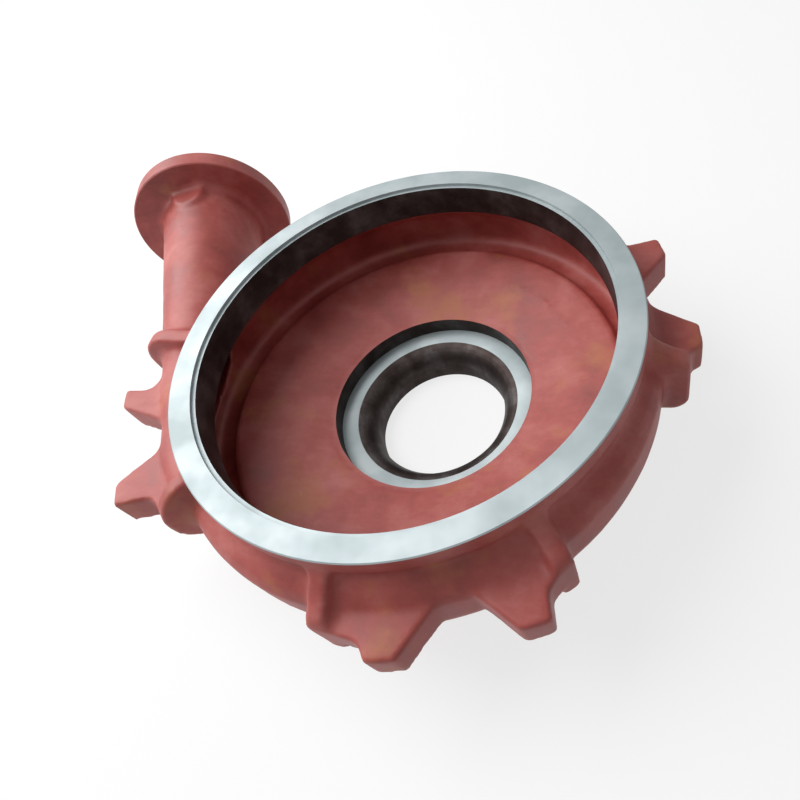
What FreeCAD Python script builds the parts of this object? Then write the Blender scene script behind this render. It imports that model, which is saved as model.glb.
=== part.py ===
"""Volute pump casing: one sand casting with machined seats.

The pump axis is +Z. The origin is on the axis, in the plane of the suction flange,
which is also the face that the casing stands on. The open side, where the cover
and the impeller go in, looks up. Sizes are in millimetres.
"""
import FreeCAD, Part
import math
import os

import Sketcher
from FreeCAD import Placement, Rotation, Vector

doc = FreeCAD.newDocument("pump_casing")

# Driving sizes: name, value, what it is
SIZES = [
    ("casing_height", 190.0, "suction face to cover face"),
    ("cover_overhang", 3.0, "cover ring beyond the neck under it"),
    ("cover_thickness", 19.0, "cylindrical edge of the cover ring"),
    ("cover_chamfer", 1.2, "broken edge round the cover face"),
    ("register_step", 4.0, "step that centres the cover, beyond the land"),
    ("register_depth", 3.5, "depth of that step"),
    ("land_radius", 222.0, "turned land under the register"),
    ("land_depth", 40.0, "cover face to the end of the land"),
    ("neck_wall", 25.0, "wall of the shell round the land"),
    ("belt_bulge", 45.0, "outside of the shell at its widest, beyond the land"),
    ("belt_shift", 8.0, "pump axis to the shell's own axis"),
    ("belt_shift_angle", 250.0, "direction of that shift, from +X"),
    ("belt_top", 134.0, "height where the front shoulder ends"),
    ("belt_bottom", 96.0, "height where the back shoulder starts"),
    ("back_round", 30.0, "rounded back shoulder of the shell"),
    ("shell_wall", 12.0, "wall of the shell and of the back"),
    ("channel_width", 15.0, "channel round the conical back wall, inside"),
    ("disc_edge_height", 93.0, "height of the outer edge of the back wall"),
    ("disc_drop", 28.0, "how far the back wall falls to the wear seat"),
    ("channel_drop", 13.0, "channel floor below the edge of the back wall"),
    ("seat_radius", 119.0, "wear ring seat"),
    ("seat_depth", 21.0, "depth of the wear ring seat"),
    ("seat_bevel", 11.0, "bevel between the seat and the eye"),
    ("eye_radius", 88.0, "impeller eye"),
    ("suction_bore_radius", 80.0, "straight suction bore"),
    ("suction_bore_length", 24.0, "length of that bore"),
    ("suction_neck_wall", 13.0, "wall round the wear ring seat"),
    ("suction_flange_overhang", 10.5, "suction flange beyond the neck behind it"),
    ("suction_flange_thickness", 26.0, "suction flange"),
    ("passage_height", 119.0, "height of the discharge centre line"),
    ("passage_inset", 1.0, "discharge centre line inside the widest line of the shell"),
    ("discharge_angle", 108.5, "direction of the discharge, from +X"),
    ("bend_radius", 141.0, "centre line of the swelling bend"),
    ("swell_sweep", 80.0, "degrees of shell over which the passage swells"),
    ("throat_bore_radius", 23.0, "passage at the throat"),
    ("throat_wall", 10.0, "wall at the throat"),
    ("nozzle_length", 367.0, "throat to the back of the discharge flange"),
    ("nozzle_bore_radius", 50.0, "discharge bore at the flange"),
    ("nozzle_bore_length", 28.0, "straight length of that bore"),
    ("nozzle_wall", 17.0, "wall of the nozzle at the flange"),
    ("nozzle_flange_radius", 104.5, "discharge flange"),
    ("nozzle_flange_thickness", 26.0, "discharge flange"),
    ("nozzle_fillet", 6.0, "sloped corner behind the discharge flange"),
    ("boss_radius", 22.0, "flat boss for a gauge, on top of the nozzle"),
    ("boss_rise", 2.0, "boss above the nozzle"),
    ("boss_setback", 10.0, "middle of the boss to the back of the flange"),
    ("lugs_1_angle", 18.8, "middle of a pair of lugs, from +X"),
    ("lugs_2_angle", 109.5, "middle of a pair of lugs, from +X"),
    ("lugs_3_angle", 199.5, "middle of the pair on the swelling, from +X"),
    ("lugs_4_angle", 289.5, "middle of a pair of lugs, from +X"),
    ("lug_top", 138.0, "height of the top faces of the lugs"),
    ("lug_thickness", 40.0, "thickness of the lugs"),
    ("lug_reach", 39.0, "lug tips beyond the shell"),
    ("swell_lug_reach", 49.0, "lug tip beyond its root, at the swelling"),
    ("nozzle_lug_reach", 56.0, "lug tip beyond its root, at the nozzle"),
    ("swell_lug_inset", 7.0, "lug roots inside the outside of the swelling"),
    ("lug_gap", 36.0, "gap between the roots of a pair"),
    ("lug_tip_start", 49.0, "inner corner of a tip, from the middle of the pair"),
    ("lug_tip_width", 28.0, "width of a tip"),
    ("lug_tip_slope", 1.0, "outer corner of a tip short of its inner corner"),
    ("second_lug_reach", 36.0, "tip of the second lug of a pair beyond the shell"),
    ("second_tip_slope", 6.0, "outer corner of that tip short of its inner corner"),
    ("lug_flank", 3.0, "outer flank wider at the pad than at the tip"),
    ("nozzle_lug_flank", 10.0, "outer flank narrower at the nozzle than at the tip"),
    ("lugs_1_lean", 9.0, "second lug of the pair leans further out"),
    ("lugs_2_lean", 9.0, "second lug of the pair leans further out"),
    ("lugs_3_lean", 7.0, "second lug of the pair leans further out"),
    ("lugs_4_lean", 9.0, "second lug of the pair leans further out"),
    ("pad_reach", 12.0, "pads beyond the shell"),
    ("far_pad_reach", 2.0, "pads beyond the shell, on the side away from the swelling"),
    ("swell_pad_reach", 5.5, "pad beyond the lug root, at the swelling"),
    ("nozzle_pad_reach", 23.0, "foot of the lug beyond its root, at the nozzle"),
    ("pad_step", 1.0, "pads inside the rim of the rib that they join"),
    ("rib_1_angle", 42.0, "rib, from +X"),
    ("rib_2_angle", 87.0, "rib, from +X"),
    ("rib_3_angle", 132.0, "rib, from +X"),
    ("rib_4_angle", 177.0, "rib over the discharge, from +X"),
    ("rib_5_angle", 221.0, "rib on the swelling, from +X"),
    ("rib_6_angle", 264.5, "rib, from +X"),
    ("rib_7_angle", 309.5, "rib, from +X"),
    ("rib_8_angle", 358.0, "rib, from +X"),
    ("rib_thickness", 20.0, "thickness of a rib"),
    ("rib_height", 19.0, "rib beyond the shell"),
    ("far_rib_height", 12.0, "first three ribs beyond the shell"),
    ("side_rib_height", 27.0, "last rib beyond the shell"),
    ("nozzle_rib_height", 24.0, "rib beyond the nozzle"),
    ("swell_rib_height", 21.0, "rib beyond the swelling"),
    ("rib_round", 16.0, "rounded corners of a rib"),
    ("collar_radius", 48.0, "round outline of the ribs over the nozzle and the swelling"),
    ("collar_lift", 7.0, "middle of that outline above the discharge centre line"),
]

# Sizes that follow from the driving ones; a later line is used in an earlier one
DERIVED = [
    ("suction_flange_radius", "{suction_neck_radius} + {suction_flange_overhang}"),
    ("suction_neck_radius", "{seat_radius} + {suction_neck_wall}"),
    ("swell_offset", "{passage_offset} - {bend_radius}"),
    ("passage_offset", "{belt_radius} - {passage_inset}"),
    ("disc_radius", "{belt_radius} - {shell_wall} - {channel_width}"),
    ("belt_radius", "{land_radius} + {belt_bulge}"),
    ("cover_radius", "{neck_radius} + {cover_overhang}"),
    ("neck_radius", "{land_radius} + {neck_wall}"),
    ("register_radius", "{land_radius} + {register_step}"),
]

sizes = doc.addObject("Spreadsheet::Sheet", "sizes")
for row, (alias, value, note) in enumerate(SIZES, start=1):
    sizes.set("A%d" % row, alias)
    sizes.set("B%d" % row, str(value))
    sizes.set("C%d" % row, note)
    sizes.setAlias("B%d" % row, alias)
doc.recompute()

casting = doc.addObject("PartDesign::Body", "casting")
casting.Label = "volute_casing"


def bound(text):
    """Turn {name} in an expression into the sheet's cell of that name, or what it follows from."""
    for name, formula in DERIVED:
        text = text.replace("{%s}" % name, "(%s)" % formula)
    return text.replace("{", "<<sizes>>.").replace("}", "")


def number(text):
    """Value of an expression, for a sketch's first guess."""
    return float(sizes.evalExpression(bound(text)))


def base_plane(role):
    """Origin plane of the casting by its role."""
    return next(item for item in casting.Origin.OriginFeatures if item.Role == role)


def new_sketch(name, role, axis, turn, lift="0"):
    """Sketch on an origin plane, turned about one of the plane's axes and lifted off it."""
    sketch = casting.newObject("Sketcher::SketchObject", name)
    sketch.AttachmentSupport = [(base_plane(role), "")]
    sketch.MapMode = "FlatFace"
    sketch.AttachmentOffset = Placement(Vector(0, 0, number(lift)), Rotation(axis, number(turn)))
    if turn != "0":
        sketch.setExpression("AttachmentOffset.Rotation.Angle", bound(turn))
    if lift != "0":
        sketch.setExpression("AttachmentOffset.Base.z", bound(lift))
    return sketch


def radial_sketch(name, turn="0"):
    """Sketch in a half plane through the pump axis: x is the radius, y the height."""
    return new_sketch(name, "XZ_Plane", Vector(0, 1, 0), turn)


def level_sketch(name, turn, lift):
    """Sketch in a level plane, turned about the pump axis."""
    return new_sketch(name, "XY_Plane", Vector(0, 0, 1), turn, lift)


def pin_point(sketch, edge, end, x_text, y_text):
    """Fix one end of an edge at a place given by expressions."""
    for kind, text, axis_edge in (("DistanceX", x_text, -2), ("DistanceY", y_text, -1)):
        value = number(text)
        if text == "0":
            sketch.addConstraint(Sketcher.Constraint("PointOnObject", edge, end, axis_edge))
            continue
        index = sketch.addConstraint(Sketcher.Constraint(kind, -1, 1, edge, end, value))
        sketch.setExpression("Constraints[%d]" % index, bound(text))


def arc_through(start, finish, radius):
    """Arc between two points; it bulges to the left of the way from start to finish if radius > 0."""
    chord = finish - start
    left = Vector(-chord.y, chord.x, 0).normalize()
    half = chord.Length / 2
    size = abs(radius)
    rise = size - math.sqrt(size * size - half * half)
    middle = (start + finish) / 2 + left * math.copysign(rise, radius)
    return Part.Arc(start, middle, finish)


def outline(sketch, corners):
    """Closed outline of (x, y) corners; a third text is the radius of the arc to the next corner."""
    base = sketch.GeometryCount
    count = len(corners)
    places = [Vector(number(corner[0]), number(corner[1]), 0) for corner in corners]
    first_ends = []
    for index, corner in enumerate(corners):
        start, finish = places[index], places[(index + 1) % count]
        if len(corner) == 3:
            sketch.addGeometry(arc_through(start, finish, number(corner[2])), False)
        else:
            sketch.addGeometry(Part.LineSegment(start, finish), False)
        first_ends.append(1 if sketch.getPoint(base + index, 1).isEqual(start, 1e-6) else 2)
    for index, corner in enumerate(corners):
        following = (index + 1) % count
        sketch.addConstraint(Sketcher.Constraint(
            "Coincident", base + index, 3 - first_ends[index], base + following, first_ends[following]))
        pin_point(sketch, base + index, first_ends[index], corner[0], corner[1])
        if len(corner) == 3:
            radius = "abs(%s)" % corner[2]
            fixed = sketch.addConstraint(Sketcher.Constraint("Radius", base + index, number(radius)))
            sketch.setExpression("Constraints[%d]" % fixed, bound(radius))


def turning_line(sketch, x_text):
    """Vertical construction line that a profile turns about."""
    place = number(x_text)
    line = sketch.addGeometry(Part.LineSegment(Vector(place, 0, 0), Vector(place, 50, 0)), True)
    sketch.addConstraint(Sketcher.Constraint("Vertical", line))
    sketch.addConstraint(Sketcher.Constraint("PointOnObject", line, 1, -1))
    sketch.addConstraint(Sketcher.Constraint("DistanceY", line, 1, line, 2, 50.0))
    index = sketch.addConstraint(Sketcher.Constraint("DistanceX", -1, 1, line, 1, place))
    sketch.setExpression("Constraints[%d]" % index, bound(x_text))


def revolve(kind, name, sketch, axis, angle="360", back=False):
    """Turned feature, added or cut, about one of the sketch's axes."""
    feature = casting.newObject("PartDesign::" + kind, name)
    feature.Profile = sketch
    feature.ReferenceAxis = (sketch, [axis])
    feature.setExpression("Angle", bound(angle))
    feature.Reversed = back
    doc.recompute()
    return feature


def core_outside():
    """Cover ring, neck, back wall and suction flange, turned about the pump axis."""
    ring_under = "{casing_height} - {cover_thickness}"
    back = "{disc_edge_height} - {disc_drop} - {shell_wall}"
    sketch = radial_sketch("core_outline")
    outline(sketch, [
        ("0", "{casing_height}"),
        ("{cover_radius} - {cover_chamfer}", "{casing_height}"),
        ("{cover_radius}", "{casing_height} - {cover_chamfer}"),
        ("{cover_radius}", ring_under),
        ("{neck_radius}", ring_under + " - 3"),
        ("{neck_radius}", "{belt_bottom}"),
        ("{suction_neck_radius}", back),
        ("{suction_neck_radius}", "{suction_flange_thickness}"),
        ("{suction_flange_radius}", "{suction_flange_thickness}"),
        ("{suction_flange_radius}", "0"),
        ("0", "0"),
    ])
    return revolve("Revolution", "core", sketch, "V_Axis")


def belt_profile(name, corners):
    """Half section about the shell's own axis: corners are (radius from it, height)."""
    sketch = radial_sketch(name, "{belt_shift_angle}")
    outline(sketch, [("{belt_shift} + (%s)" % corner[0],) + corner[1:] for corner in corners])
    turning_line(sketch, "{belt_shift}")
    return sketch


def belt_outside():
    """Wide part of the shell, turned about its own axis."""
    shoulder = "{casing_height} - {land_depth}"
    sketch = belt_profile("belt_outline", [
        ("0", shoulder + " + 2"),
        ("{belt_radius} - 19", shoulder + " + 2"),
        ("{belt_radius} - 7", "{belt_top} + 10"),
        ("{belt_radius}", "{belt_top} - 1"),
        ("{belt_radius}", "{belt_bottom}"),
        ("{belt_radius} - {back_round} * (1 - cos(30))", "{belt_bottom} - {back_round} * sin(30)"),
        ("{belt_radius} - {back_round} * (1 - cos(60))", "{belt_bottom} - {back_round} * sin(60)"),
        ("{belt_radius} - {back_round}", "{belt_bottom} - {back_round}"),
        ("{suction_neck_radius} + 8", "{disc_edge_height} - {disc_drop} - {shell_wall} + 1"),
        ("0", "{disc_edge_height} - {disc_drop} - {shell_wall} + 1"),
    ])
    return revolve("Revolution", "belt", sketch, "Axis0")


def swelling(kind, name, radius_text):
    """Bend that leads the passage out of the round shell into the straight discharge."""
    sketch = radial_sketch(name + "_section", "{discharge_angle} + 90")
    centre = Vector(number("{passage_offset}"), number("{passage_height}"), 0)
    circle = sketch.addGeometry(Part.Circle(centre, Vector(0, 0, 1), number(radius_text)), False)
    pin_point(sketch, circle, 3, "{passage_offset}", "{passage_height}")
    index = sketch.addConstraint(Sketcher.Constraint("Radius", circle, number(radius_text)))
    sketch.setExpression("Constraints[%d]" % index, bound(radius_text))
    turning_line(sketch, "{swell_offset}")
    return revolve(kind, name, sketch, "Axis0", "{swell_sweep}")


def nozzle_profile(name, corners):
    """Half section of the straight discharge: corners are (distance along it, radius)."""
    sketch = level_sketch(name, "{discharge_angle} - 90", "{passage_height}")
    outline(sketch, [("-{passage_offset} - (%s)" % corner[1], corner[0]) + corner[2:] for corner in corners])
    turning_line(sketch, "-{passage_offset}")
    return sketch


def nozzle_outside():
    """Tapered discharge with its flange."""
    back = "{nozzle_length}"
    front = "{nozzle_length} + {nozzle_flange_thickness}"
    neck = "{nozzle_bore_radius} + {nozzle_wall}"
    sketch = nozzle_profile("nozzle_profile", [
        ("0", "0"),
        ("0", "{throat_bore_radius} + {throat_wall}"),
        (back + " - {nozzle_fillet}", neck),
        (back, neck + " + {nozzle_fillet}"),
        (back, "{nozzle_flange_radius}"),
        (front, "{nozzle_flange_radius}"),
        (front, "0"),
    ])
    return revolve("Revolution", "nozzle", sketch, "Axis0")


def gauge_boss():
    """Low round boss on top of the nozzle, against the flange."""
    sketch = level_sketch("boss_outline", "{discharge_angle} - 90", "{passage_height}")
    across, along = "-{passage_offset}", "{nozzle_length} - {boss_setback}"
    centre = Vector(number(across), number(along), 0)
    circle = sketch.addGeometry(Part.Circle(centre, Vector(0, 0, 1), number("{boss_radius}")), False)
    pin_point(sketch, circle, 3, across, along)
    index = sketch.addConstraint(Sketcher.Constraint("Radius", circle, number("{boss_radius}")))
    sketch.setExpression("Constraints[%d]" % index, bound("{boss_radius}"))
    return pad("gauge_boss", sketch, "{nozzle_bore_radius} + {nozzle_wall} + {boss_rise}")


def pad(name, sketch, length, midplane=False):
    """Sketch drawn out to a length, to one side or to both."""
    feature = casting.newObject("PartDesign::Pad", name)
    feature.Profile = sketch
    feature.Midplane = midplane
    feature.setExpression("Length", bound(length))
    doc.recompute()
    return feature


def joined_pad(wall, reach, lean, turn, end_radius):
    """Corners of the pad between a lug and its rib, from the foot of the outer flank on."""
    return [
        (wall + " + " + reach, "{lug_tip_start} + {lug_tip_width} + {lug_flank} + " + lean),
        (end_radius + " * cos(%s)" % turn, end_radius + " * sin(%s)" % turn),
        ("{land_radius} * cos(%s)" % turn, "{land_radius} * sin(%s)" % turn),
    ]


def lug_pair(index, wall, lugs):
    """Two lugs that lean apart: each has its side, reach, slope, lean and the corners of its pad."""
    sketch = level_sketch("lug_outline_%d" % index, "{lugs_%d_angle}" % index, "{lug_top} - {lug_thickness}")
    for side, reach, slope, lean, pad_corners in lugs:
        tip = wall + " + " + reach
        corners = [
            ("{land_radius}", "{lug_gap} / 2"),
            (wall, "{lug_gap} / 2"),
            (tip, "{lug_tip_start} + " + lean),
            (tip + " - " + slope, "{lug_tip_start} + {lug_tip_width} + " + lean),
        ] + pad_corners
        outline(sketch, [(x_text, side + "(" + y_text + ")") for x_text, y_text in corners])
    return pad("lugs_%d" % index, sketch, "{lug_thickness}")


def rib(index):
    """Crescent rib from under the cover ring, over the shell, to the back wall."""
    sketch = radial_sketch("rib_outline_%d" % index, "{rib_%d_angle}" % index)
    ring_under = "{casing_height} - {cover_thickness}"
    back = "{disc_edge_height} - {channel_drop} - {shell_wall}"
    reach = rib_reach(index)
    outline(sketch, [
        ("{land_radius} + 12", ring_under + " + 2"),
        ("{cover_radius} - 1", ring_under + " + 2"),
        (reach + " - {rib_round}", "{lug_top} + {rib_round} - 2", "{rib_round} * 1.1"),
        (reach, "{lug_top} - 2"),
        (reach, "{belt_bottom} - 6", "{rib_round} * 1.4"),
        (reach + " - {rib_round}", back + " - 2"),
        ("{disc_radius} - 10", back),
    ])
    return pad("rib_%d" % index, sketch, "{rib_thickness}", midplane=True)


def collar_rib(index):
    """Rib with a round outline, like a collar over the nozzle or the swelling."""
    sketch = radial_sketch("rib_outline_%d" % index, "{rib_%d_angle}" % index)
    ring_under = "{casing_height} - {cover_thickness}"
    middle = "({passage_height} + {collar_lift})"
    reach = rib_reach(index)
    outline(sketch, [
        ("{land_radius} + 12", ring_under + " + 2"),
        ("{cover_radius} - 1", ring_under + " + 2"),
        (reach + " - {collar_radius}", middle + " + {collar_radius}", "{collar_radius}"),
        (reach, middle, "{collar_radius}"),
        (reach + " - {collar_radius}", middle + " - {collar_radius}"),
        ("{disc_radius} - 10", "{disc_edge_height} - {channel_drop} - {shell_wall}"),
    ])
    return pad("rib_%d" % index, sketch, "{rib_thickness}", midplane=True)


def belt_chamber():
    """Hollow of the wide part of the shell."""
    floor = "{disc_edge_height} - {channel_drop}"
    inner_belt = "{belt_radius} - {shell_wall}"
    sketch = belt_profile("belt_hollow", [
        ("0", "{belt_top} + 8"),
        (inner_belt + " - 16", "{belt_top} + 8"),
        (inner_belt, "{belt_top} - 8"),
        (inner_belt, floor + " + 7"),
        (inner_belt + " - 7", floor),
        ("{disc_radius} - 12", floor),
        ("{disc_radius} - 12", "{disc_edge_height} + 1"),
        ("0", "{disc_edge_height} + 1"),
    ])
    return revolve("Groove", "belt_chamber", sketch, "Axis0")


def chamber():
    """Everything turned out from the cover side, down to the suction bore."""
    sketch = radial_sketch("chamber_outline")
    land_end = "{casing_height} - {land_depth}"
    seat_top = "{disc_edge_height} - {disc_drop}"
    outline(sketch, [
        ("0", "{casing_height} + 1"),
        ("{register_radius}", "{casing_height} + 1"),
        ("{register_radius}", "{casing_height} - {register_depth}"),
        ("{land_radius}", "{casing_height} - {register_depth}"),
        ("{land_radius}", land_end),
        ("{disc_radius} - 2", "{belt_top} + 4"),
        ("{disc_radius} - 2", "{disc_edge_height}"),
        ("{seat_radius}", seat_top),
        ("{seat_radius}", seat_top + " - {seat_depth}"),
        ("{eye_radius} + {seat_bevel}", seat_top + " - {seat_depth}"),
        ("{eye_radius}", seat_top + " - {seat_depth} - {seat_bevel} / 2"),
        ("{suction_bore_radius}", "{suction_bore_length}"),
        ("{suction_bore_radius}", "-1"),
        ("0", "-1"),
    ])
    return revolve("Groove", "chamber", sketch, "V_Axis")


def nozzle_bore():
    """Tapered passage from the throat to the straight bore at the discharge flange."""
    past_front = "{nozzle_length} + {nozzle_flange_thickness} + 1"
    sketch = nozzle_profile("nozzle_bore_profile", [
        ("0", "0"),
        ("0", "{throat_bore_radius}"),
        (past_front + " - 1 - {nozzle_bore_length}", "{nozzle_bore_radius}"),
        (past_front, "{nozzle_bore_radius}"),
        (past_front, "0"),
    ])
    return revolve("Groove", "nozzle_bore", sketch, "Axis0")


def shell_wall_at(angle):
    """Outside radius of the shell at an angle, from the pump axis."""
    return "({belt_radius} + {belt_shift} * cos(%s - {belt_shift_angle}))" % angle


THROAT_RADIUS = "({throat_bore_radius} + {throat_wall})"
BEND_TURN = "({rib_5_angle} - {discharge_angle} - 90)"
SWELL_WALL = "({swell_offset} * cos(%s) + sqrt({bend_radius} ^ 2 - ({swell_offset} * sin(%s)) ^ 2) + %s)" % (
    BEND_TURN, BEND_TURN, THROAT_RADIUS)
NOZZLE_WALL = "({passage_offset} + %s) / cos({discharge_angle} + 90 - {rib_4_angle})" % THROAT_RADIUS
RIB_HEIGHTS = {
    1: "{far_rib_height}",
    2: "{far_rib_height}",
    3: "{far_rib_height}",
    4: "{nozzle_rib_height}",
    5: "{swell_rib_height}",
    8: "{side_rib_height}",
}


def rib_reach(index):
    """Rim of a rib, from the pump axis."""
    wall = {4: NOZZLE_WALL, 5: SWELL_WALL}.get(index, shell_wall_at("{rib_%d_angle}" % index))
    return "(%s + %s)" % (wall, RIB_HEIGHTS.get(index, "{rib_height}"))


def lugs_on_shell(index, first_pad, second_pad):
    """Pair of lugs on the round shell, with the reach of the pad at each."""
    middle = "{lugs_%d_angle}" % index
    wall = shell_wall_at(middle)
    rib_after, rib_before = 2 * index - 1, (2 * index - 3) % 8 + 1
    turn_after = "({rib_%d_angle} - %s)" % (rib_after, middle)
    turn_before = "(%s - {rib_%d_angle})" % (middle, rib_before)
    lean = "{lugs_%d_lean}" % index
    end_after = "(%s - {pad_step})" % rib_reach(rib_after)
    end_before = "(%s - {pad_step})" % rib_reach(rib_before)
    return lug_pair(index, wall, [
        ("", "{lug_reach}", "{lug_tip_slope}", "0", joined_pad(wall, first_pad, "0", turn_after, end_after)),
        ("-", "{second_lug_reach}", "{second_tip_slope}", lean,
         joined_pad(wall, second_pad, lean, turn_before, end_before)),
    ])


def lugs_on_swelling():
    """Pair of lugs where the swelling becomes the nozzle."""
    wall = "({passage_offset} + %s - {swell_lug_inset})" % THROAT_RADIUS
    lean = "{lugs_3_lean}"
    tip_end = "{lug_tip_start} + {lug_tip_width} + " + lean
    turn = "({rib_5_angle} - {lugs_3_angle})"
    end = "(%s - {pad_step})" % rib_reach(5)
    foot = [
        (wall + " + {nozzle_pad_reach}", tip_end + " - {nozzle_lug_flank}"),
        (wall, tip_end + " + 8"),
        ("{land_radius}", tip_end + " + 8"),
    ]
    return lug_pair(3, wall, [
        ("", "{swell_lug_reach}", "{lug_tip_slope}", "0",
         joined_pad(wall, "{swell_pad_reach}", "0", turn, end)),
        ("-", "{nozzle_lug_reach}", "{lug_tip_slope}", lean, foot),
    ])


core_outside()
belt_outside()
swelling("Revolution", "swelling", THROAT_RADIUS)
nozzle_outside()
gauge_boss()
lugs_on_shell(1, "{far_pad_reach}", "{pad_reach}")
lugs_on_shell(2, "{far_pad_reach}", "{far_pad_reach}")
lugs_on_swelling()
lugs_on_shell(4, "{pad_reach}", "{pad_reach}")
for index in range(1, 9):
    if index in (4, 5):
        collar_rib(index)
    else:
        rib(index)
belt_chamber()
chamber()
swelling("Groove", "passage", "{throat_bore_radius}")
nozzle_bore()

faults = [item.Name for item in doc.Objects if {"Invalid", "Error"} & set(item.State)]
if faults:
    raise RuntimeError("features that failed: %s" % ", ".join(faults))
if casting.Shape.isNull() or not casting.Shape.isValid() or len(casting.Shape.Solids) != 1:
    raise RuntimeError("the casting is not one valid solid")
os.makedirs("parts", exist_ok=True)
casting.Shape.exportStep("parts/%s.step" % casting.Label)
box = casting.Shape.BoundBox
print("casting %.0f x %.0f x %.0f mm, %.2f litres, %d faces" % (
    box.XLength, box.YLength, box.ZLength, casting.Shape.Volume / 1e6, len(casting.Shape.Faces)))
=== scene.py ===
"""Volute pump casing: a grey iron sand casting under red oxide primer, with bare turned seats."""

import math

import bpy
import numpy as np
import openvdb
from mathutils import Matrix, Vector, noise


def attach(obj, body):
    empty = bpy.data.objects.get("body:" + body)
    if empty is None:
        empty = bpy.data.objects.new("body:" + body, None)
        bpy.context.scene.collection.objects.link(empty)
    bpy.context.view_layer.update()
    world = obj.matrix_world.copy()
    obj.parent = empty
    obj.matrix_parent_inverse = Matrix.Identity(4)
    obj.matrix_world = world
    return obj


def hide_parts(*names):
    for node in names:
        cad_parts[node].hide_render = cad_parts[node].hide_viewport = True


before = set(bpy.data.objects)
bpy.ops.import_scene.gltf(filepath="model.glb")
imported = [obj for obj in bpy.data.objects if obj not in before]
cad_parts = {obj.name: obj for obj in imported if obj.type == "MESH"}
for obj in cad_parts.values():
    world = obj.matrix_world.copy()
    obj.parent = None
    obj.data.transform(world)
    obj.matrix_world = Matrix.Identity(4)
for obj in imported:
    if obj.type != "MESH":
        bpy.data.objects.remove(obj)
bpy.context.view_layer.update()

MM = 0.001

# Sizes of the turned seats, the same as in the part's source, in millimetres
COVER_FACE = 190.0
COVER_RADIUS = 250.0
COVER_THICKNESS = 19.0
COVER_CHAMFER = 1.2
NECK_RADIUS = 247.0
REGISTER_RADIUS = 226.0
REGISTER_DEPTH = 3.5
LAND_RADIUS = 222.0
LAND_END = 150.0
SEAT_RADIUS = 119.0
SEAT_TOP = 65.0
SEAT_FLOOR = 44.0
EYE_RADIUS = 88.0
EYE_BEVEL = 11.0
SUCTION_RADIUS = 80.0
SUCTION_LENGTH = 24.0
SUCTION_FLANGE_RADIUS = 142.5
SUCTION_FLANGE_THICKNESS = 26.0
NOZZLE_ANGLE = math.radians(108.5)
NOZZLE_OFFSET = 266.0
NOZZLE_HEIGHT = 119.0
NOZZLE_LENGTH = 367.0
NOZZLE_FLANGE_RADIUS = 104.5
NOZZLE_FLANGE_THICKNESS = 26.0
NOZZLE_BORE_RADIUS = 50.0
NOZZLE_BORE_LENGTH = 28.0
THROAT_RADIUS = 23.0

# Broken edges of the two flanges, which the part's source leaves sharp, in millimetres
SUCTION_CHAMFER = 1.0
NOZZLE_CHAMFER = 1.5

# How the foundry leaves the casting, in millimetres
FOUNDRY_FILLET = 6.5
FOUNDRY_ROUND = 2.5
UNEVEN_DEPTH = 0.9
UNEVEN_NEAR = 22.0
UNEVEN_FAR = 60.0

# How finely the casting's mesh is made
VOXEL = 2.5
VOXELS_TO_SPARE = 3
SMOOTHING_ROUNDS = 3
FACES_KEPT = 0.22
TURNED_SIDES = 360
SHARP_ANGLE = math.radians(35)

# A wave texture of scale 1 has 20 radians of wave in each metre
WAVE_TURN = 2 * math.pi / 20

# The third finish, dark turned iron, carries painted shade in its colour
PRIMED, FINE_TURNED, ROUGH_TURNED_PAINTED_SHADE = range(3)

# Where the turned seats lie, in millimetres
PUMP_CENTRE = Vector((0, 0, 0))
UPWARDS = Vector((0, 0, 1))
THROAT = Vector((
    -NOZZLE_OFFSET * math.sin(NOZZLE_ANGLE),
    NOZZLE_OFFSET * math.cos(NOZZLE_ANGLE),
    NOZZLE_HEIGHT))
NOZZLE_WAY = Vector((math.cos(NOZZLE_ANGLE), math.sin(NOZZLE_ANGLE), 0))
FLANGE_FRONT = NOZZLE_LENGTH + NOZZLE_FLANGE_THICKNESS
LAND_BOTTOM = LAND_END - 0.5
REGISTER_FLOOR = COVER_FACE - REGISTER_DEPTH

# The studio, in metres and as a share of full white
LAMP_AIM = Vector((-0.05, 0.02, 0.1))
FLOOR_REACH = 30.0
ROOM_LIGHT = 0.24


def linear(code):
    """Linear colour of an sRGB hex code."""
    values = []
    for start in (0, 2, 4):
        part = int(code[start:start + 2], 16) / 255
        values.append(part / 12.92 if part <= 0.04045 else ((part + 0.055) / 1.055) ** 2.4)
    return (*values, 1.0)


def add(tree, kind, inputs=None, stops=(), **settings):
    """Adds a node: its settings, its inputs as values or outputs to link from, its colour stops."""
    node = tree.nodes.new(kind)
    for name, value in settings.items():
        setattr(node, name, value)
    for key, value in (inputs or {}).items():
        if isinstance(value, bpy.types.NodeSocket):
            tree.links.new(value, node.inputs[key])
        else:
            node.inputs[key].default_value = value
    for index, (place, code) in enumerate(stops):
        elements = node.color_ramp.elements
        stop = elements[index] if index < 2 else elements.new(place)
        stop.position = place
        stop.color = linear(code)
    return node


def empty_tree(owner):
    """Empty node tree of a material or of the world."""
    owner.use_nodes = True
    owner.node_tree.nodes.clear()
    return owner.node_tree


def seen_directly(tree):
    """One for what the camera, a reflection or glass sees, and nothing for light that falls on things."""
    rays = add(tree, "ShaderNodeLightPath")
    indirect = add(tree, "ShaderNodeMath", {
        0: rays.outputs["Is Glossy Ray"], 1: rays.outputs["Is Transmission Ray"]}, operation="MAXIMUM")
    seen = add(tree, "ShaderNodeMath", {
        0: rays.outputs["Is Camera Ray"], 1: indirect.outputs[0]}, operation="MAXIMUM")
    return seen.outputs[0]


def mesh_object(name, points, faces):
    """Mesh object from points in metres and faces."""
    mesh = bpy.data.meshes.new(name)
    mesh.from_pydata(points, [], faces)
    mesh.update()
    item = bpy.data.objects.new(name, mesh)
    bpy.context.scene.collection.objects.link(item)
    return item


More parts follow.
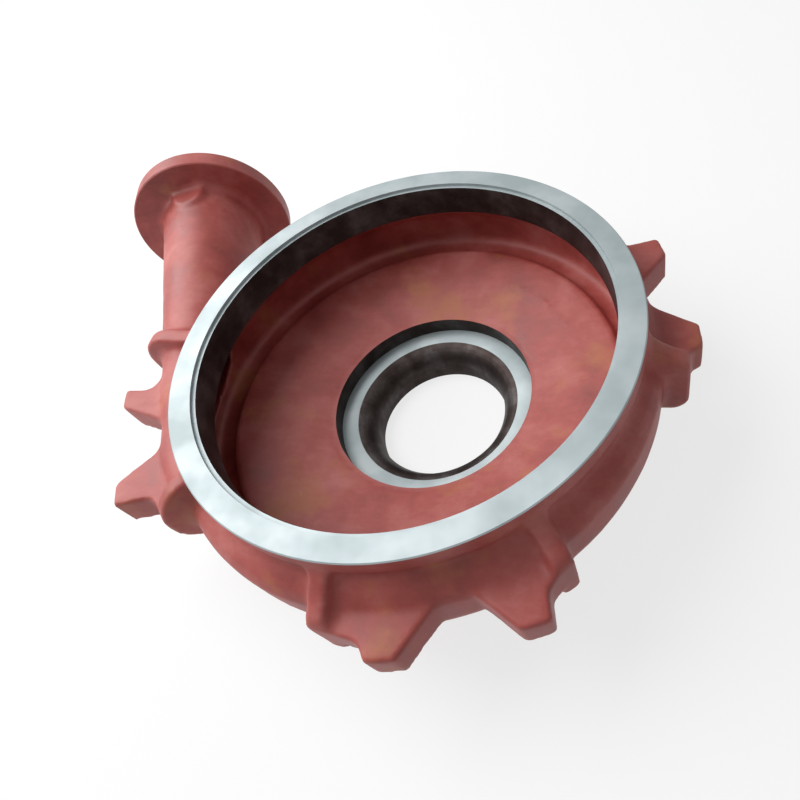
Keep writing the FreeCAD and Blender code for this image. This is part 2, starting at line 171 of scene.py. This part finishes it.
def rows_of(items, name, kind=np.float32):
    """One value of each of a mesh's items, three numbers to a row."""
    values = np.empty(len(items) * 3, kind)
    items.foreach_get(name, values)
    return values.reshape(-1, 3)


def apply_modifiers(item):
    """Makes what an object's modifiers give its own mesh."""
    shown = item.evaluated_get(bpy.context.evaluated_depsgraph_get())
    mesh = bpy.data.meshes.new_from_object(shown)
    item.modifiers.clear()
    item.data = mesh


def shifted(points, triangles, quads, shift):
    """Surface that lies a shift outside a closed one, in millimetres, as points, triangles and quads."""
    grid = openvdb.FloatGrid.createLevelSetFromPolygons(
        points, triangles=triangles, quads=quads,
        transform=openvdb.createLinearTransform(voxelSize=VOXEL * MM),
        halfWidth=abs(shift) / VOXEL + VOXELS_TO_SPARE)
    return grid.convertToPolygons(isovalue=shift * MM, adaptivity=0.0)


def make_uneven(mesh):
    """Sinks the surface by a depth that drifts over short and long distances, as sand leaves it."""
    points = rows_of(mesh.vertices, "co")
    normals = rows_of(mesh.vertices, "normal")
    depths = []
    for point in points.tolist():
        near = noise.noise(Vector(point) / (UNEVEN_NEAR * MM))
        far = noise.noise(Vector(point) / (UNEVEN_FAR * MM))
        depths.append(0.5 + 0.5 * (0.6 * near + 0.4 * far))
    points -= normals * (np.array(depths, np.float32)[:, None] * UNEVEN_DEPTH * MM)
    mesh.vertices.foreach_set("co", points.ravel())
    mesh.update()


def cast_skin(mesh):
    """The casting as it leaves the sand: inside corners filled, edges rounded, surface uneven."""
    mesh.calc_loop_triangles()
    points = rows_of(mesh.vertices, "co")
    triangles = rows_of(mesh.loop_triangles, "vertices", np.int32).astype(np.uint32)
    quads = np.zeros((0, 4), np.uint32)
    for shift in (FOUNDRY_FILLET, -FOUNDRY_FILLET - FOUNDRY_ROUND, FOUNDRY_ROUND):
        points, triangles, quads = shifted(points, triangles, quads, shift)
    # Corners are read backwards, so that the faces look outwards
    faces = triangles[:, ::-1].tolist() + quads[:, ::-1].tolist()
    skin = mesh_object("cast_casing", points.tolist(), faces)
    smooth = skin.modifiers.new("smooth", "SMOOTH")
    smooth.factor = 0.5
    smooth.iterations = SMOOTHING_ROUNDS
    apply_modifiers(skin)
    make_uneven(skin.data)
    fewer = skin.modifiers.new("fewer", "DECIMATE")
    fewer.ratio = FACES_KEPT
    apply_modifiers(skin)
    return skin


def turned_body(name, start, way, profile):
    """Closed body turned about a line: profile corners are (radius, distance along it) in millimetres."""
    way = way.normalized()
    side = way.orthogonal().normalized()
    over = way.cross(side)
    points, rings = [], []
    for radius, along in profile:
        middle = (start + way * along) * MM
        if radius == 0:
            rings.append([len(points)])
            points.append(middle)
            continue
        rings.append(range(len(points), len(points) + TURNED_SIDES))
        for step in range(TURNED_SIDES):
            angle = 2 * math.pi * step / TURNED_SIDES
            points.append(middle + (side * math.cos(angle) + over * math.sin(angle)) * radius * MM)
    faces = []
    for here, there in zip(rings, rings[1:] + rings[:1]):
        if len(here) == 1 and len(there) == 1:
            continue
        for step in range(TURNED_SIDES):
            following = (step + 1) % TURNED_SIDES
            if len(here) == 1:
                faces.append((here[0], there[following], there[step]))
            elif len(there) == 1:
                faces.append((here[step], here[following], there[0]))
            else:
                faces.append((here[step], here[following], there[following], there[step]))
    return mesh_object(name, points, faces)


def combine(skin, operation, *body):
    """Joins a turned body to the casting, or cuts it away."""
    tool = turned_body(*body)
    change = skin.modifiers.new(tool.name, "BOOLEAN")
    change.object = tool
    change.operation = operation
    change.solver = "MANIFOLD"
    apply_modifiers(skin)
    bpy.data.objects.remove(tool)


def turn_seats(skin):
    """Turns the cover ring, the wear ring seat, the bores and both flanges true on the casting.

    Each zone is first filled with a solid that reaches a little past the cast surface,
    and then bored to size, so that its edges are crisp and its faces exact.
    """
    ring_under = COVER_FACE - COVER_THICKNESS
    neck_under = ring_under - 3
    ring_filling = LAND_RADIUS - 17
    ring_root = NECK_RADIUS - 4
    combine(skin, "UNION", "cover_ring", PUMP_CENTRE, UPWARDS, [
        (ring_filling, LAND_END),
        (ring_root, LAND_END),
        (ring_root, neck_under),
        (NECK_RADIUS, neck_under),
        (COVER_RADIUS, ring_under),
        (COVER_RADIUS, COVER_FACE - COVER_CHAMFER),
        (COVER_RADIUS - COVER_CHAMFER, COVER_FACE),
        (ring_filling, COVER_FACE),
    ])
    seat_root = SEAT_RADIUS + 9
    combine(skin, "UNION", "suction_end", PUMP_CENTRE, UPWARDS, [
        (0, 0),
        (SUCTION_FLANGE_RADIUS - SUCTION_CHAMFER, 0),
        (SUCTION_FLANGE_RADIUS, SUCTION_CHAMFER),
        (SUCTION_FLANGE_RADIUS, SUCTION_FLANGE_THICKNESS - SUCTION_CHAMFER),
        (SUCTION_FLANGE_RADIUS - SUCTION_CHAMFER, SUCTION_FLANGE_THICKNESS),
        (seat_root, SUCTION_FLANGE_THICKNESS),
        (seat_root, SEAT_TOP + 1),
        (SEAT_RADIUS, SEAT_TOP),
        (0, SEAT_TOP),
    ])
    filling_start = NOZZLE_LENGTH - 17
    filling_radius = NOZZLE_BORE_RADIUS + 10
    combine(skin, "UNION", "discharge_end", THROAT, NOZZLE_WAY, [
        (0, filling_start),
        (filling_radius, filling_start),
        (filling_radius, NOZZLE_LENGTH),
        (NOZZLE_FLANGE_RADIUS - NOZZLE_CHAMFER, NOZZLE_LENGTH),
        (NOZZLE_FLANGE_RADIUS, NOZZLE_LENGTH + NOZZLE_CHAMFER),
        (NOZZLE_FLANGE_RADIUS, FLANGE_FRONT - NOZZLE_CHAMFER),
        (NOZZLE_FLANGE_RADIUS - NOZZLE_CHAMFER, FLANGE_FRONT),
        (0, FLANGE_FRONT),
    ])

    past = 5
    combine(skin, "DIFFERENCE", "cover_land", PUMP_CENTRE, UPWARDS, [
        (0, LAND_BOTTOM),
        (LAND_RADIUS, LAND_BOTTOM),
        (LAND_RADIUS, REGISTER_FLOOR),
        (REGISTER_RADIUS, REGISTER_FLOOR),
        (REGISTER_RADIUS, COVER_FACE + past),
        (0, COVER_FACE + past),
    ])
    combine(skin, "DIFFERENCE", "eye", PUMP_CENTRE, UPWARDS, [
        (0, -past),
        (SUCTION_RADIUS, -past),
        (SUCTION_RADIUS, SUCTION_LENGTH),
        (EYE_RADIUS, SEAT_FLOOR - EYE_BEVEL / 2),
        (EYE_RADIUS + EYE_BEVEL, SEAT_FLOOR),
        (SEAT_RADIUS, SEAT_FLOOR),
        (SEAT_RADIUS, SEAT_TOP + 2 * past),
        (0, SEAT_TOP + 2 * past),
    ])
    bore_start = FLANGE_FRONT - NOZZLE_BORE_LENGTH
    taper = (NOZZLE_BORE_RADIUS - THROAT_RADIUS) / bore_start
    cut_start = filling_start - 1
    combine(skin, "DIFFERENCE", "discharge_bore", THROAT, NOZZLE_WAY, [
        (0, cut_start),
        (THROAT_RADIUS + taper * cut_start, cut_start),
        (NOZZLE_BORE_RADIUS, bore_start),
        (NOZZLE_BORE_RADIUS, FLANGE_FRONT + past),
        (0, FLANGE_FRONT + past),
    ])


def finish_faces(mesh):
    """Gives each face the finish of the surface it lies on, and smooth shading between sharp edges."""
    slack = 0.1
    centres = rows_of(mesh.polygons, "center", np.float64) / MM
    height = centres[:, 2]
    radius = np.hypot(centres[:, 0], centres[:, 1])
    level = np.abs(rows_of(mesh.polygons, "normal", np.float64)[:, 2]) > 0.3
    from_throat = centres - np.array(THROAT)
    along = from_throat @ np.array(NOZZLE_WAY)
    off_axis = np.linalg.norm(from_throat - along[:, None] * np.array(NOZZLE_WAY), axis=1)

    fine = (height > COVER_FACE - COVER_CHAMFER - slack) & (radius < COVER_RADIUS + slack / 10)
    fine |= (height > REGISTER_FLOOR - slack) & (radius < REGISTER_RADIUS + slack)
    # Up-facing seat faces get the bright turned iron and the seat wall the dark one: a painted lit floor and
    # shaded wall
    fine |= (radius < SEAT_RADIUS - slack / 2) & (height < SEAT_TOP) & (height > SEAT_FLOOR - slack) & level
    fine |= (radius < SUCTION_FLANGE_RADIUS) & (height < SUCTION_CHAMFER + slack)
    fine |= (along > FLANGE_FRONT - NOZZLE_CHAMFER - slack) & (off_axis > NOZZLE_BORE_RADIUS - slack)
    # The land, the seat wall and the bores get the dark turned iron, whose darkness is painted shade
    rough_and_shaded = (radius < LAND_RADIUS + slack) & (height > LAND_BOTTOM - slack) & (height < REGISTER_FLOOR)
    rough_and_shaded |= (radius < SEAT_RADIUS + slack) & (height < SEAT_TOP + slack)
    rough_and_shaded |= (along > FLANGE_FRONT - NOZZLE_BORE_LENGTH) & (off_axis < NOZZLE_BORE_RADIUS + slack)

    finish = np.full(len(mesh.polygons), PRIMED, np.int32)
    finish[rough_and_shaded] = ROUGH_TURNED_PAINTED_SHADE
    finish[fine] = FINE_TURNED
    mesh.polygons.foreach_set("material_index", finish)
    mesh.shade_smooth()
    mesh.set_sharp_from_angle(angle=SHARP_ANGLE)


def red_oxide_primer():
    """Red oxide primer brushed on sand-cast iron.

    The primer is dull and chalky: broad weak highlights, paler where it dried dusty,
    with the grain of the moulding sand under it and yellow rust stains in places.
    """
    material = bpy.data.materials.new("red_oxide_primer_on_sand_cast_iron")
    tree = empty_tree(material)
    place = add(tree, "ShaderNodeTexCoord").outputs["Object"]
    # Drifts 70 mm across, with brush streaks 7 mm wide and four times as long
    drift = add(tree, "ShaderNodeTexNoise", {
        "Vector": place, "Scale": 1 / (70 * MM), "Detail": 5.0, "Roughness": 0.6})
    swept = add(tree, "ShaderNodeMapping", {
        "Vector": place, "Rotation": (0, 0, math.radians(-38)), "Scale": (0.25, 1.0, 1.0)})
    streaks = add(tree, "ShaderNodeTexNoise", {
        "Vector": swept.outputs[0], "Scale": 1 / (7 * MM), "Detail": 3.0, "Roughness": 0.55})
    tone = add(tree, "ShaderNodeMix", {
        "Factor": 0.12, "A": drift.outputs["Fac"], "B": streaks.outputs["Fac"]}, data_type="FLOAT")
    paint_colour = add(tree, "ShaderNodeValToRGB", {"Fac": tone.outputs[0]}, stops=[
        (0.32, "82352F"), (0.50, "9E4943"), (0.68, "B06660")])
    # Rust stains 90 mm apart
    spots = add(tree, "ShaderNodeTexNoise", {
        "Vector": place, "Scale": 1 / (90 * MM), "Detail": 4.0, "Roughness": 0.62})
    stained = add(tree, "ShaderNodeMapRange", {
        "Value": spots.outputs["Fac"], "From Min": 0.56, "From Max": 0.68, "To Min": 0.0, "To Max": 0.5})
    colour = add(tree, "ShaderNodeMix", {
        "Factor": stained.outputs[0], "A": paint_colour.outputs[0], "B": linear("A8693A")}, data_type="RGBA")
    gloss = add(tree, "ShaderNodeMapRange", {
        "Value": drift.outputs["Fac"], "From Min": 0.3, "From Max": 0.7, "To Min": 0.42, "To Max": 0.60})
    # Sand grain drawn 2.4 mm across, coarser than real so that it shows, on lumps of 14 mm
    grain = add(tree, "ShaderNodeTexNoise", {"Vector": place, "Scale": 1 / (2.4 * MM), "Detail": 3.0})
    lumps = add(tree, "ShaderNodeTexNoise", {"Vector": place, "Scale": 1 / (14 * MM), "Detail": 2.0})
    lumpy = add(tree, "ShaderNodeBump", {
        "Height": lumps.outputs["Fac"], "Distance": 0.5 * MM, "Strength": 0.6})
    skin = add(tree, "ShaderNodeBump", {
        "Height": grain.outputs["Fac"], "Distance": 0.12 * MM, "Strength": 0.6, "Normal": lumpy.outputs[0]})
    paint = add(tree, "ShaderNodeBsdfPrincipled", {
        "Base Color": colour.outputs["Result"], "Roughness": gloss.outputs[0], "Normal": skin.outputs[0],
        "IOR": 1.5, "Specular IOR Level": 0.4})
    add(tree, "ShaderNodeOutputMaterial", {"Surface": paint.outputs[0]})
    return material


def fine_turned_iron():
    """Grey iron turned with a fine feed: bright, with rings that stretch its highlights.

    The metal is blue-grey, slightly clouded and half dulled by a thin skin of oxide.
    The rings are drawn 1.6 mm apart, coarser than the tool's feed, so that they show.
    """
    material = bpy.data.materials.new("fine_turned_grey_iron")
    tree = empty_tree(material)
    place = add(tree, "ShaderNodeTexCoord").outputs["Object"]
    cloud = add(tree, "ShaderNodeTexNoise", {
        "Vector": place, "Scale": 1 / (50 * MM), "Detail": 3.0, "Roughness": 0.5})
    colour = add(tree, "ShaderNodeValToRGB", {"Fac": cloud.outputs["Fac"]}, stops=[
        (0.36, "98A2A3"), (0.52, "A2ABAD"), (0.66, "ACB4B5")])
    dull = add(tree, "ShaderNodeMapRange", {
        "Value": cloud.outputs["Fac"], "From Min": 0.3, "From Max": 0.7, "To Min": 0.64, "To Max": 0.58})
    rings = add(tree, "ShaderNodeTexWave", {"Vector": place, "Scale": WAVE_TURN / (1.6 * MM)},
                wave_type="RINGS", rings_direction="Z")
    lathe = add(tree, "ShaderNodeBump", {
        "Height": rings.outputs["Fac"], "Distance": 0.02 * MM, "Strength": 0.5})
    tangent = add(tree, "ShaderNodeTangent", direction_type="RADIAL", axis="Z")
    metal = add(tree, "ShaderNodeBsdfPrincipled", {
        "Base Color": colour.outputs[0], "Metallic": 0.5, "Roughness": dull.outputs[0],
        "Normal": lathe.outputs[0], "Anisotropic": 0.4, "Tangent": tangent.outputs[0]})
    add(tree, "ShaderNodeOutputMaterial", {"Surface": metal.outputs[0]})
    return material


def rough_turned_iron_painted_shade():
    """Coarse-turned dull grey iron grooved 2.5 mm apart; its dark brownish grey is painted shade."""
    material = bpy.data.materials.new("rough_turned_grey_iron_painted_shade")
    tree = empty_tree(material)
    place = add(tree, "ShaderNodeTexCoord").outputs["Object"]
    cloud = add(tree, "ShaderNodeTexNoise", {
        "Vector": place, "Scale": 1 / (40 * MM), "Detail": 4.0, "Roughness": 0.6})
    # Dark brownish grey: painted shade, with a little painted reflection of the red primer in its brown tint
    colour = add(tree, "ShaderNodeValToRGB", {"Fac": cloud.outputs["Fac"]}, stops=[
        (0.38, "332B29"), (0.52, "423B39"), (0.66, "565150")])
    grooves = add(tree, "ShaderNodeTexWave", {
        "Vector": place, "Scale": WAVE_TURN / (2.5 * MM), "Distortion": 0.4},
        wave_type="BANDS", bands_direction="Z")
    cut = add(tree, "ShaderNodeBump", {
        "Height": grooves.outputs["Fac"], "Distance": 0.08 * MM, "Strength": 0.7})
    metal = add(tree, "ShaderNodeBsdfPrincipled", {
        "Base Color": colour.outputs[0], "Metallic": 1.0, "Roughness": 0.55, "Normal": cut.outputs[0]})
    add(tree, "ShaderNodeOutputMaterial", {"Surface": metal.outputs[0]})
    return material


def matt_white_floor():
    """Matt white studio floor, seen as nearly white with a soft shadow."""
    material = bpy.data.materials.new("matt_white_floor")
    tree = empty_tree(material)
    share = add(tree, "ShaderNodeMath", {0: seen_directly(tree), 1: 0.75}, operation="MULTIPLY")
    matt = add(tree, "ShaderNodeBsdfDiffuse", {"Color": linear("EBEBEB")})
    glow = add(tree, "ShaderNodeEmission", {"Color": linear("FFFFFF"), "Strength": 1.0})
    mixed = add(tree, "ShaderNodeMixShader", {
        "Fac": share.outputs[0], 1: matt.outputs[0], 2: glow.outputs[0]})
    add(tree, "ShaderNodeOutputMaterial", {"Surface": mixed.outputs[0]})
    return material


def lay_floor():
    """Level floor under the suction flange, 60 m across."""
    corners = [(FLOOR_REACH * x, FLOOR_REACH * y, 0) for x, y in ((-1, -1), (1, -1), (1, 1), (-1, 1))]
    plane = mesh_object("floor", corners, [(0, 1, 2, 3)])
    plane.data.materials.append(matt_white_floor())


def lamp(name, direction, away, size, power):
    """Square soft lamp that looks at the casing from a direction, with its distance and size in metres."""
    light = bpy.data.lights.new(name, "AREA")
    light.shape = "SQUARE"
    light.size = size
    light.energy = power
    item = bpy.data.objects.new(name, light)
    direction = Vector(direction).normalized()
    item.location = LAMP_AIM + direction * away
    item.rotation_euler = direction.to_track_quat("Z", "Y").to_euler()
    bpy.context.scene.collection.objects.link(item)


def light_studio():
    """Soft window light from the left, a weak lamp on the right, and an even white room."""
    world = bpy.data.worlds.new("white_room")
    tree = empty_tree(world)
    level = add(tree, "ShaderNodeMapRange", {
        "Value": seen_directly(tree), "To Min": ROOM_LIGHT, "To Max": 1.0})
    sky = add(tree, "ShaderNodeBackground", {"Color": linear("F6F8FA"), "Strength": level.outputs[0]})
    add(tree, "ShaderNodeOutputWorld", {"Surface": sky.outputs[0]})
    bpy.context.scene.world = world
    lamp("window", (-0.68, 0.16, 0.72), away=2.4, size=2.4, power=98)
    lamp("fill", (0.35, -0.55, 0.76), away=2.6, size=2.0, power=3)


def place_camera():
    """The photograph's view: from above the cover side, slightly rolled."""
    lens = bpy.data.cameras.new("photo_camera")
    lens.sensor_width = 36.0
    lens.lens = 29.25
    lens.shift_x = -0.125
    lens.shift_y = 0.006
    lens.clip_start = 0.01
    lens.clip_end = 50.0
    view = bpy.data.objects.new("photo_camera", lens)
    right = Vector((0.97277, 0.12767, -0.19343))
    up = Vector((0.0, 0.83460, 0.55085))
    back = Vector((0.23176, -0.53585, 0.81188))
    place = Vector((255.9, -408.5, 666.8)) * MM
    view.matrix_world = Matrix((
        (right.x, up.x, back.x, place.x),
        (right.y, up.y, back.y, place.y),
        (right.z, up.z, back.z, place.z),
        (0, 0, 0, 1)))
    bpy.context.scene.collection.objects.link(view)
    bpy.context.scene.camera = view


casing = cast_skin(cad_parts["volute_casing"].data)
turn_seats(casing)
casing.data.materials.clear()
for finish in (red_oxide_primer(), fine_turned_iron(), rough_turned_iron_painted_shade()):
    casing.data.materials.append(finish)
finish_faces(casing.data)
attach(casing, "root")
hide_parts("volute_casing")

lay_floor()
light_studio()
place_camera()
bpy.context.scene.view_settings.view_transform = "Standard"
